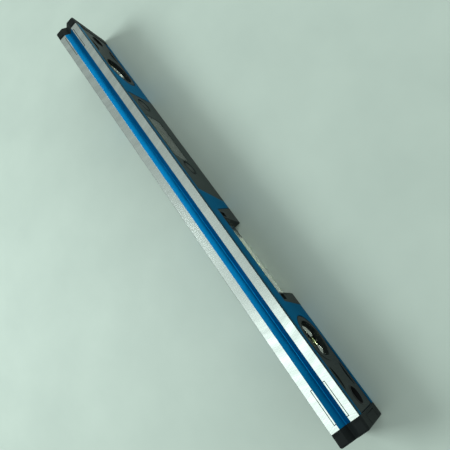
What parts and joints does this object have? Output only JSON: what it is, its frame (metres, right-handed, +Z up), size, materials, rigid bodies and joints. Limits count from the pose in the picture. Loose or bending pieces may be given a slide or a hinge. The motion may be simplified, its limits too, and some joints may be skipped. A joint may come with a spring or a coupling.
{
  "type": "digital box spirit level",
  "caption": "Digital box-beam spirit level with a magnetic V-groove face, level and plumb vials, tilt display, buttons and battery door, standing on its top edge.",
  "frame": {"origin": "middle of the footprint of the level as it stands on its top edge", "axes": "+X along the beam, +Y out of the side with the display, +Z up, out of the milled working face"},
  "size_m": [0.61, 0.033, 0.069],
  "materials": {
    "blue_paint": "satin metallic blue coat over extruded aluminium, milled bare on the working face",
    "milled_alloy": "fine cross-milled",
    "magnet_nickel": "nickel plated",
    "cap_rubber": "matt moulded",
    "grip_plastic": "fine moulded texture",
    "housing_plastic": "fine moulded texture",
    "black_plastic": "moulded",
    "clear_acrylic": "polished clear",
    "vial_bubble": "air",
    "lens_acrylic": "polished",
    "lcd_film": "reflective display film",
    "diffuser_plastic": "translucent",
    "button_rubber": "soft matt",
    "board_laminate": "solder mask",
    "plated_steel": "zinc plated",
    "cell_jacket": "plain printed jacket"
  },
  "bodies": {
    "root": {"battery_contacts": "plated_steel", "battery_lower": "cell_jacket", "battery_springs": "plated_steel", "battery_upper": "cell_jacket", "beam_extrusion": "blue_paint", "board_chips": "black_plastic", "buzzer": "black_plastic", "circuit_board": "board_laminate", "display_housing_front": "housing_plastic", "display_housing_rear": "housing_plastic", "display_lens": "lens_acrylic", "end_cap_left": "cap_rubber", "end_cap_right": "cap_rubber", "hang_hole_sleeve_left": "black_plastic", "hang_hole_sleeve_right": "black_plastic", "hold_switch": "black_plastic", "housing_screws": "plated_steel", "lcd_panel": "lcd_film", "level_vial_block": "clear_acrylic", "level_vial_plug": "clear_acrylic", "light_guide": "diffuser_plastic", "magnet_keeper_left": "milled_alloy", "magnet_keeper_right": "milled_alloy", "magnets_left": "magnet_nickel", "magnets_right": "magnet_nickel", "plumb_vial_block_left": "clear_acrylic", "plumb_vial_block_right": "clear_acrylic", "plumb_vial_plug_left": "clear_acrylic", "plumb_vial_plug_right": "clear_acrylic", "power_switch": "black_plastic", "tilt_sensor": "plated_steel", "vial_holder_left": "grip_plastic", "vial_holder_right": "grip_plastic", "window_plate_left_front": "grip_plastic", "window_plate_left_rear": "grip_plastic", "window_plate_right_front": "grip_plastic", "window_plate_right_rear": "grip_plastic"},
    "power_button": {"power_button": "button_rubber"},
    "hold_button": {"hold_button": "button_rubber"},
    "battery_door": {"battery_door": "housing_plastic"},
    "level_bubble": {"level_bubble": "vial_bubble"},
    "plumb_bubble_left": {"plumb_bubble_left": "vial_bubble"},
    "plumb_bubble_right": {"plumb_bubble_right": "vial_bubble"}
  },
  "joints": [
    {"name": "power_button_press", "type": "slide", "parent": "root", "child": "power_button", "axis": [0, -1, 0], "range_m": [0, 0.001], "stiffness_N_per_m": 600, "springref_m": -0.001},
    {"name": "hold_button_press", "type": "slide", "parent": "root", "child": "hold_button", "axis": [0, -1, 0], "range_m": [0, 0.001], "stiffness_N_per_m": 600, "springref_m": -0.001},
    {"name": "battery_door_hinge", "type": "hinge", "parent": "root", "child": "battery_door", "pos_m": [-0.105, -0.0152, 0.0475], "axis": [-1, 0, 0], "range_deg": [0, 100]},
    {"name": "level_bubble_drift", "type": "slide", "parent": "root", "child": "level_bubble", "axis": [1, 0, 0], "range_m": [-0.0323, 0.0323], "stiffness_N_per_m": 2},
    {"name": "plumb_bubble_left_drift", "type": "slide", "parent": "root", "child": "plumb_bubble_left", "axis": [0, 0, -1], "range_m": [0, 0.0232], "stiffness_N_per_m": 1.5, "springref_m": -0.02},
    {"name": "plumb_bubble_right_drift", "type": "slide", "parent": "root", "child": "plumb_bubble_right", "axis": [0, 0, -1], "range_m": [0, 0.0232], "stiffness_N_per_m": 1.5, "springref_m": -0.02}
  ]
}
